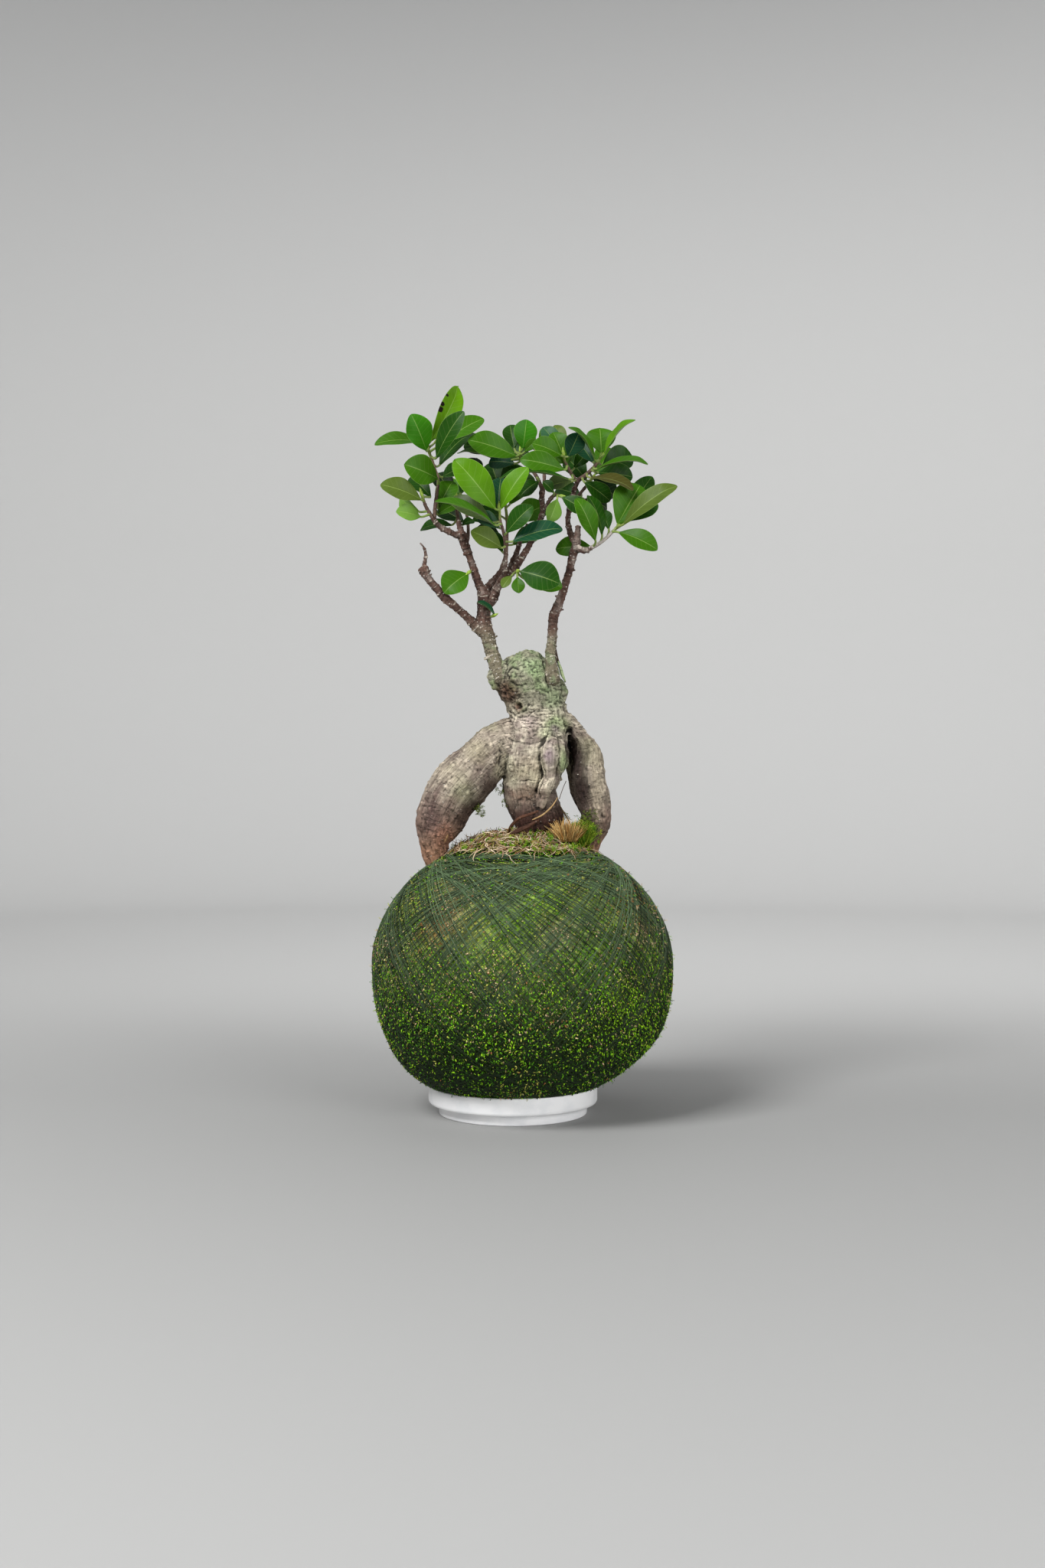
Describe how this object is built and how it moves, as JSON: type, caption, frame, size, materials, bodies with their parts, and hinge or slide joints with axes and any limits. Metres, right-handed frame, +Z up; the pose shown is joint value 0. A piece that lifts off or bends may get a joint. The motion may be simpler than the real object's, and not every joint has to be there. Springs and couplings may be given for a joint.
{
  "type": "kokedama moss ball plant",
  "caption": "Grafted ginseng ficus with swollen aerial roots, standing in a thread-bound moss ball that rests in a shallow round saucer.",
  "frame": {"origin": "centre of the saucer's flat underside, on the surface that it stands on", "axes": "+Z up along the plant; the front, with the short hanging root, faces -Y; +X to the right seen from the front"},
  "size_m": [0.2022, 0.198, 0.4855],
  "materials": {
    "saucer_glaze": "satin white glaze",
    "soil": "damp crumbly soil",
    "living_moss": "matte living moss leaflets",
    "dry_moss": "matte loose dry strands",
    "rust_moss": "matte dried moss strands",
    "thread": "satin dark green sewing thread",
    "bark": "wrinkled grey bark with algae",
    "branch_bark": "rough brown bark with pale spots",
    "leaf": "glossy waxy leaf"
  },
  "bodies": {
    "root": {"saucer": "saucer_glaze", "soil_core": "soil", "moss_jacket": "living_moss", "moss_dressing": "dry_moss", "binding_thread": "thread", "trunk": "bark", "branch_left": "branch_bark", "branch_right": "branch_bark", "tuft_rust": "rust_moss", "tuft_green": "living_moss", "spray_top_left": "leaf", "spray_left": "leaf", "spray_upper_left": "leaf", "leaf_low_left": "leaf", "leaf_small_left": "leaf", "spray_front": "leaf", "spray_front_low": "leaf", "spray_top": "leaf", "spray_top_right": "leaf", "spray_right_top": "leaf", "spray_mid_right": "leaf", "spray_right": "leaf", "spray_back_left": "leaf", "spray_back_middle": "leaf", "spray_back_right": "leaf", "spray_back_top": "leaf"}
  },
  "joints": []
}
